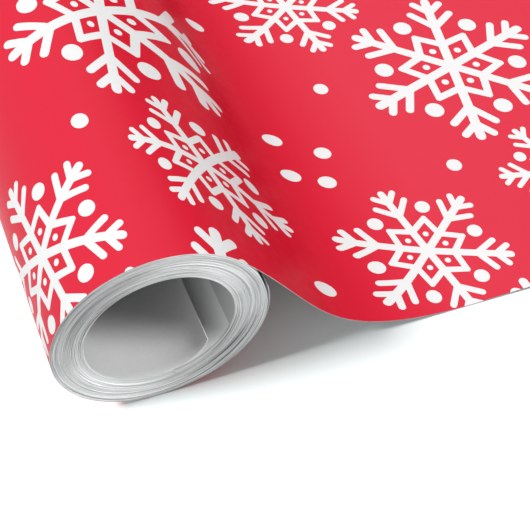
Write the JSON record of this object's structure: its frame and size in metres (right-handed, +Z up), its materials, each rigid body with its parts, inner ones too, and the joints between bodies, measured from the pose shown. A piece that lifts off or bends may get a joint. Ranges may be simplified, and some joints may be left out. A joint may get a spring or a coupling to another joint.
{
  "type": "wrapping paper roll",
  "caption": "Coreless roll of printed gift wrap lying on its side, its free end falling off the top in an S-curve and lying flat beside it.",
  "frame": {"origin": "bottom centre of the whole object's box, on the surface that the roll and the sheet lie on", "axes": "+Y along the roll's axis from the front end to the back end, +X along the flat sheet away from the roll, +Z up"},
  "size_m": [0.31, 0.7, 0.06],
  "materials": {
    "printed_paper": "smooth satin red print with white snowflakes and dots",
    "wound_edges": "matt cut edges of many white paper layers",
    "bare_back": "matt uncoated white back of the paper"
  },
  "bodies": {
    "outer_layer": {"outer_wrap": "printed_paper", "lead_curve": "printed_paper"},
    "free_sheet": {"lead_sheet": "printed_paper"},
    "wound_outer": {"turns_outer": "wound_edges"},
    "wound_mid_outer": {"turns_mid_outer": "wound_edges"},
    "wound_middle": {"turns_middle": "wound_edges"},
    "wound_mid_inner": {"turns_mid_inner": "wound_edges"},
    "wound_inner": {"turns_inner": "wound_edges", "innermost_turn": "bare_back"},
    "tail": {"inner_tail": "bare_back"}
  },
  "joints": [
    {"name": "sheet_lift", "type": "hinge", "parent": "outer_layer", "child": "free_sheet", "pos_m": [-0.02135, 0, 0.0005], "axis": [0, -1, 0], "range_deg": [0, 60]},
    {"name": "roll_turn", "type": "hinge", "parent": "outer_layer", "child": "wound_outer", "pos_m": [-0.125, 0, 0.03], "axis": [0, 1, 0], "continuous": true},
    {"name": "telescope", "type": "slide", "parent": "wound_outer", "child": "wound_mid_outer", "axis": [0, -1, 0], "range_m": [-0.008, 0.012]},
    {"name": "telescope_middle", "type": "slide", "parent": "wound_mid_outer", "child": "wound_middle", "axis": [0, -1, 0], "range_m": [-0.008, 0.012]},
    {"name": "telescope_mid_inner", "type": "slide", "parent": "wound_middle", "child": "wound_mid_inner", "axis": [0, -1, 0], "range_m": [-0.008, 0.012]},
    {"name": "telescope_inner", "type": "slide", "parent": "wound_mid_inner", "child": "wound_inner", "axis": [0, -1, 0], "range_m": [-0.008, 0.012]},
    {"name": "tail_flex", "type": "hinge", "parent": "wound_inner", "child": "tail", "pos_m": [-0.11993, 0, 0.00967], "axis": [0, -1, 0], "range_deg": [-5, 35], "stiffness_Nm_per_rad": 0.02}
  ],
  "couplings": [
    {"joint": "telescope_middle", "follows": "telescope", "ratio": 1},
    {"joint": "telescope_mid_inner", "follows": "telescope", "ratio": 1},
    {"joint": "telescope_inner", "follows": "telescope", "ratio": 1}
  ]
}
